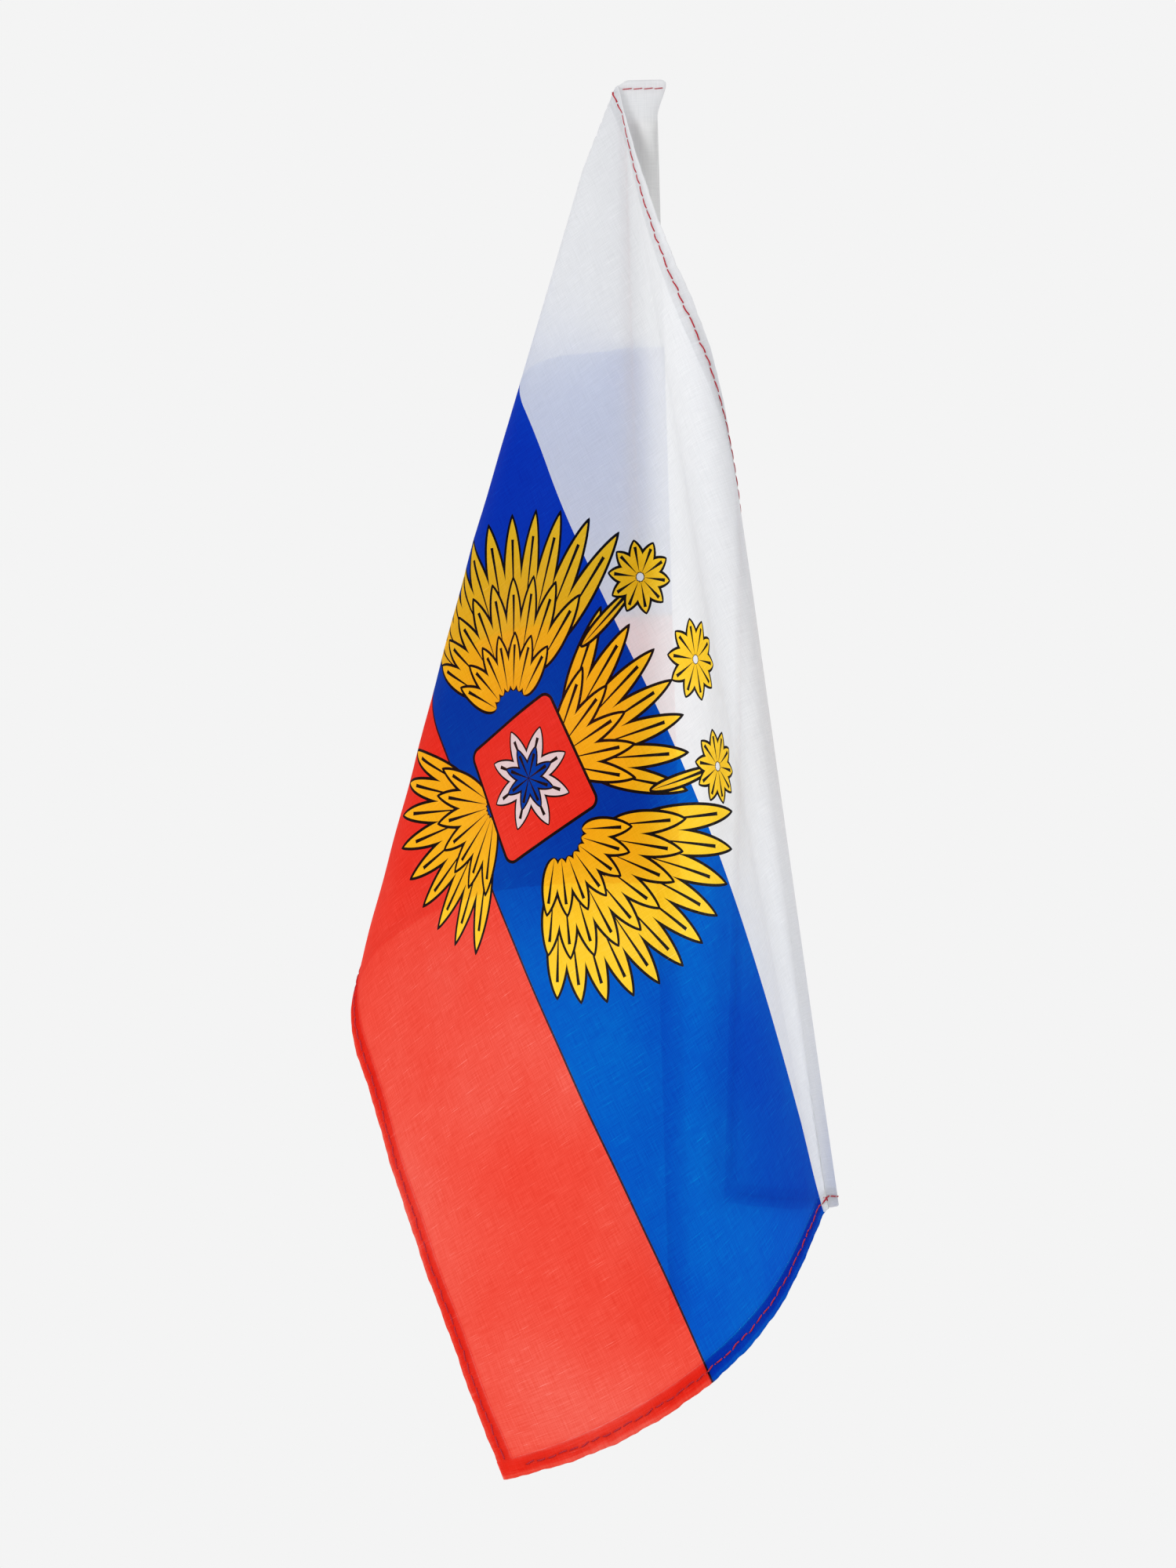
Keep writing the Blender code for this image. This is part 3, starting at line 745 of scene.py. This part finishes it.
left_cut = (left_fold_top, left_fold_along)
fly_cut = (fly_fold_top, fly_fold_along)
fly_start = FLAG_LENGTH - HEM_WIDTH
HEMS = (
    ("hoist", "bottom", SLEEVE_FLAT, left_cut),
    ("front", "bottom", left_cut, fly_start),
    ("front", "top", left_cut, fly_cut),
    ("front", "fly", fly_cut, FLAG_WIDTH),
    ("corner", "top", fly_cut, fly_start),
    ("corner", "fly", 0.0, fly_cut),
)
hems = {"hoist": [], "front": [], "corner": []}
for part, edge, start, end in HEMS:
    hem_mesh = sewn_hem(edge, start, end)
    hem = new_piece(f"{part}_{edge}_edge", hem_mesh, hem_cloth, "hem_cloth", f"{part}_{edge}_hem")
    hems[part].append(hem)
    if part == "hoist":
        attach(hem, "hoist")
    elif part == "front":
        bend_between(hem, "front_fold", Vector((0.0, -1.0, 0.0)))
    else:
        bend_between(hem, "fly_fold", Vector((0.0, 1.0, 0.0)))

# The sleeve: the hoist edge folded over into a flat tube and sewn down, closed at its top by a short seam
# and open at its foot. The stick stands inside and rounds it out below its flat top.
SLEEVE_TURN = math.radians(11.0)
SLEEVE_THICKNESS = 0.0003
SLEEVE_CLEARANCE = 0.0002
SLEEVE_SIDES = 72
SLEEVE_TOP_STEPS = 16
SLEEVE_STEPS = 110
TIP_COVER = 0.010
NEAR_CORNER = 0.0025
FAR_CORNER = 0.0015
SEWN_REACH = 0.0022
SLEEVE_RUCK = 0.00016

tube_radius = stick_radius + SLEEVE_CLEARANCE + SLEEVE_THICKNESS / 2
hoist_top = seam_top.z
sleeve_low, sleeve_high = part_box("sleeve")
sleeve_height = sleeve_high.z - sleeve_low.z


def tube_point():
    """How far the sleeve's seam lies from the stick's axis, for a loop of twice its flat width."""
    near, far = tube_radius * 1.01, SLEEVE_FLAT
    for _ in range(40):
        middle = (near + far) / 2
        straight = math.sqrt(middle * middle - tube_radius * tube_radius)
        if straight + tube_radius * (math.pi - math.acos(tube_radius / middle)) < SLEEVE_FLAT:
            near = middle
        else:
            far = middle
    return near


point_out = tube_point()
straight_run = math.sqrt(point_out**2 - tube_radius**2)
slope = math.asin(tube_radius / point_out)


def round_the_stick(way):
    """A place on the tube's loop, in plan, at a way from its seam of up to its flat width."""
    if way <= straight_run:
        return -point_out + way * math.cos(slope), -way * math.sin(slope)
    angle = math.pi / 2 - slope + (way - straight_run) / tube_radius
    return -tube_radius * math.cos(angle), -tube_radius * math.sin(angle)


def sleeve_place(way, depth, side):
    """A place on the sleeve: a way from the seam, a depth below its top, on its front (1) or back (-1)."""
    ease = min(1.0, depth / TIP_COVER)
    ease = ease * ease * (3.0 - 2.0 * ease)
    x_round, y_round = round_the_stick(way)
    end = min(1.0, 12.0 * way / SLEEVE_FLAT, 12.0 * (1.0 - way / SLEEVE_FLAT))
    cap = math.sqrt(min(1.0, depth / 0.0006 + 0.02))
    y_flat = -SLEEVE_THICKNESS * math.sqrt(max(0.0, end)) * cap
    x_flat = -point_out + way
    corner = max(0.0, 1.0 - depth / NEAR_CORNER) * max(0.0, 1.0 - way / NEAR_CORNER)
    far_corner = max(0.0, 1.0 - depth / FAR_CORNER) * max(0.0, 1.0 - (SLEEVE_FLAT - way) / FAR_CORNER)
    x = x_flat + (x_round - x_flat) * ease + 0.0004 * corner**2 - 0.0003 * far_corner
    y = y_flat + (y_round - y_flat) * ease
    free = max(0.0, 1.0 - way / straight_run)
    ruck = SLEEVE_RUCK * free * math.sin(depth * 330.0 + side * 1.1) * math.sin(depth * 118.0)
    x, y = x - ruck * 0.4, side * y + ruck
    turn_cos, turn_sin = math.cos(SLEEVE_TURN), math.sin(SLEEVE_TURN)
    x, y = x * turn_cos - y * turn_sin, x * turn_sin + y * turn_cos
    sewn = max(0.0, 1.0 - way / SEWN_REACH) ** 2
    x += (seam_top.x + point_out * turn_cos) * sewn
    y += (seam_top.y + point_out * turn_sin) * sewn
    return Vector((x, y, hoist_top - depth - 0.0014 * corner**2 - 0.0006 * far_corner**2))


sleeve_mesh = bmesh.new()
depths = [TIP_COVER * step / SLEEVE_TOP_STEPS for step in range(SLEEVE_TOP_STEPS)]
below_tip = sleeve_height - TIP_COVER
depths += [TIP_COVER + below_tip * step / SLEEVE_STEPS for step in range(SLEEVE_STEPS + 1)]
half = SLEEVE_SIDES // 2
flats = []
rings = []
for depth in depths:
    ring = []
    for index in range(SLEEVE_SIDES + 1):
        side = 1 if index <= half else -1
        way = SLEEVE_FLAT * (1.0 - abs(index - half) / half)
        ring.append(sleeve_mesh.verts.new(sleeve_place(way, depth, side)))
        flats.append((SLEEVE_FLAT - way, depth))
    rings.append(ring)
for high_ring, low_ring in zip(rings, rings[1:]):
    for index in range(SLEEVE_SIDES):
        nxt = index + 1
        sleeve_mesh.faces.new((high_ring[index], low_ring[index], low_ring[nxt], high_ring[nxt]))
for index in range(half):
    corners = [rings[0][index], rings[0][index + 1], rings[0][-index - 2], rings[0][-index - 1]]
    sleeve_mesh.faces.new(list(dict.fromkeys(corners)))
sleeve_mesh.verts.index_update()
put_print(sleeve_mesh, flats)
bmesh.ops.recalc_face_normals(sleeve_mesh, faces=sleeve_mesh.faces)
sleeve_cloth = new_piece("sleeve_cloth", sleeve_mesh, hem_cloth, "hem_cloth", "sleeve")
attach(sleeve_cloth, "sleeve")

# The stitches: red sewing thread, two strands twisted, in a lockstitch that shows on both sides. Each
# stitch lies on the hem or the sleeve and dips into its needle holes.
THREAD_RADIUS = 0.00018
STITCH_LENGTH = 0.0029
STITCH_SIDES = 8
STITCH_PARTS = 7
SEAM_WANDER = 0.00014
TOP_SEAM_START = 0.0007
TOP_SEAM_DEPTH = 0.0022
TOP_STITCH = 0.0023
TOP_PITCH = 0.00265
TOP_THREAD_RADIUS = 0.00013

thread_material = bpy.data.materials.new("red_thread")
thread_material.use_nodes = True
tree = thread_material.node_tree
shader = tree.nodes["Principled BSDF"]
round_place = wire(tree, "ShaderNodeUVMap", uv_map="cut_cloth")
parts = wire(tree, "ShaderNodeSeparateXYZ", round_place).node.outputs
twist_with_groove_shade = calc(tree, "MULTIPLY_ADD", parts["X"], 40.0, calc(tree, "MULTIPLY", parts["Y"], math.tau))
twist_with_groove_shade = calc(tree, "MULTIPLY_ADD", calc(tree, "SINE", twist_with_groove_shade), 0.5, 0.5)
fibre = wire(tree, "ShaderNodeTexNoise", round_place, None, 60.0, 2.0)
# The darker red where the twist dips is painted shade in the grooves between the strands; the twist also
# gives the thread its relief and roughness.
colour = mixed(tree, twist_with_groove_shade, (0.22, 0.003, 0.010), (0.46, 0.010, 0.028))
colour = mixed(tree, calc(tree, "MULTIPLY", fibre, 0.2), colour, (0.60, 0.04, 0.07))
tree.links.new(colour, shader.inputs["Base Color"])
tree.links.new(calc(tree, "MULTIPLY_ADD", twist_with_groove_shade, 0.15, 0.45), shader.inputs["Roughness"])
bump = tree.nodes.new("ShaderNodeBump")
bump.inputs["Strength"].default_value = 0.6
bump.inputs["Distance"].default_value = 0.0001
tree.links.new(twist_with_groove_shade, bump.inputs["Height"])
tree.links.new(bump.outputs["Normal"], shader.inputs["Normal"])
shader.inputs["Sheen Weight"].default_value = 0.04
shader.inputs["Specular IOR Level"].default_value = 0.2


def add_stitch(mesh, layer, path, radius):
    """One stitch as a small tube along its path, with closed ends."""
    rings = []
    for index, place in enumerate(path):
        ahead = (path[min(index + 1, len(path) - 1)] - path[max(index - 1, 0)]).normalized()
        aside = ahead.orthogonal().normalized()
        other = ahead.cross(aside)
        ring = []
        for side in range(STITCH_SIDES):
            angle = math.tau * side / STITCH_SIDES
            spoke = aside * math.cos(angle) + other * math.sin(angle)
            ring.append(mesh.verts.new(place + spoke * radius))
        rings.append(ring)
    for index, (ring, nxt_ring) in enumerate(zip(rings, rings[1:])):
        for side in range(STITCH_SIDES):
            nxt = (side + 1) % STITCH_SIDES
            face = mesh.faces.new((ring[side], ring[nxt], nxt_ring[nxt], nxt_ring[side]))
            corners = ((index, side), (index, side + 1), (index + 1, side + 1), (index + 1, side))
            for loop, (x, y) in zip(face.loops, corners):
                loop[layer].uv = (x / (STITCH_PARTS - 1), y / STITCH_SIDES)
    mesh.faces.new(list(reversed(rings[0])))
    mesh.faces.new(rings[-1])


def stitches_along(length, place_at, stitch=STITCH_LENGTH, pitch=STITCH_PITCH, radius=THREAD_RADIUS):
    """A row of stitches on both sides of the cloth, each point of them where place_at puts it."""
    mesh = bmesh.new()
    layer = mesh.loops.layers.uv.new("cut_cloth")
    for number in range(int((length - stitch) / pitch) + 1):
        start = number * pitch + (pitch - stitch) / 2
        for side in (-1.0, 1.0):
            path = []
            for part in range(STITCH_PARTS):
                share = part / (STITCH_PARTS - 1)
                rise = 1.0 - (2.0 * share - 1.0) ** 4
                slant = 0.00012 * (2.0 * share - 1.0) * side
                path.append(place_at(start + stitch * share, side, rise, slant))
            add_stitch(mesh, layer, path, radius)
    bmesh.ops.recalc_face_normals(mesh, faces=mesh.faces)
    return mesh


def hem_stitches(edge, start, end):
    """The stitches of one hem between two cuts, in a line that wanders a little."""
    origin, along, inward = EDGES[edge]
    low, high = crossing(edge, STITCH_INSET, start), crossing(edge, STITCH_INSET, end)

    def place_at(way, side, rise, slant):
        wander = SEAM_WANDER * (math.sin(way * 640.0) + 0.6 * math.sin(way * 1510.0 + 0.8))
        flat = origin + along * (low + way) + inward * (STITCH_INSET + slant + wander)
        middle = HEM_RISE / 2
        lift = middle + side * (middle * 0.6 + rise * (middle * 0.4 + THREAD_RADIUS * 0.45))
        return Vector(hang([flat], np.array([lift]))[0])

    return stitches_along(high - low, place_at)


for part, edge, start, end in HEMS:
    if edge == "fly":
        start = HEM_WIDTH if part == "corner" else start
        end = FLAG_WIDTH - HEM_WIDTH if part == "front" else end
    row_mesh = hem_stitches(edge, start, end)
    row = new_piece(f"{part}_{edge}_stitches", row_mesh, thread_material, "thread", f"{part}_{edge}_thread")
    hems[part].append(row)
    if part == "hoist":
        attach(row, "hoist")
    elif part == "front":
        bend_between(row, "front_fold", Vector((0.0, -1.0, 0.0)))
    else:
        bend_between(row, "fly_fold", Vector((0.0, 1.0, 0.0)))


def seam_place(way, side, rise, slant):
    """A place on the long seam down the sleeve."""
    surface = sleeve_place(STITCH_INSET / 2 + slant, way + TIP_COVER, -side)
    inner = sleeve_place(STITCH_INSET / 2 + slant, way + TIP_COVER, side)
    return surface + (surface - inner).normalized() * (THREAD_RADIUS * 1.4 * rise - THREAD_RADIUS)


def top_place(way, side, rise, slant):
    """A place on the short seam across the sleeve's top."""
    surface = sleeve_place(TOP_SEAM_START + way, TOP_SEAM_DEPTH + slant, -side)
    inner = sleeve_place(TOP_SEAM_START + way, TOP_SEAM_DEPTH + slant, side)
    return surface + (surface - inner).normalized() * TOP_THREAD_RADIUS * (1.4 * rise - 1.0)


seam_mesh = stitches_along(sleeve_height - TIP_COVER * 1.5, seam_place)
top_length = SLEEVE_FLAT - 2 * TOP_SEAM_START
top_mesh = stitches_along(top_length, top_place, TOP_STITCH, TOP_PITCH, TOP_THREAD_RADIUS)
seam_stitches = new_piece("sleeve_seam_stitches", seam_mesh, thread_material, "thread", "sleeve_seam_thread")
top_stitches = new_piece("sleeve_top_stitches", top_mesh, thread_material, "thread", "sleeve_top_thread")
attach(seam_stitches, "sleeve")
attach(top_stitches, "sleeve")

# The cloth is four pieces: the sleeve, and the three panels between its seam, the two folds and the fly
# edge.
# Here: where the left fold meets the bottom edge, and each part's hems and stitch rows, as lists.
fold_at_bottom = crossing("bottom", 0.0, left_cut)
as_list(hems["hoist"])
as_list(hems["front"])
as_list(hems["corner"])
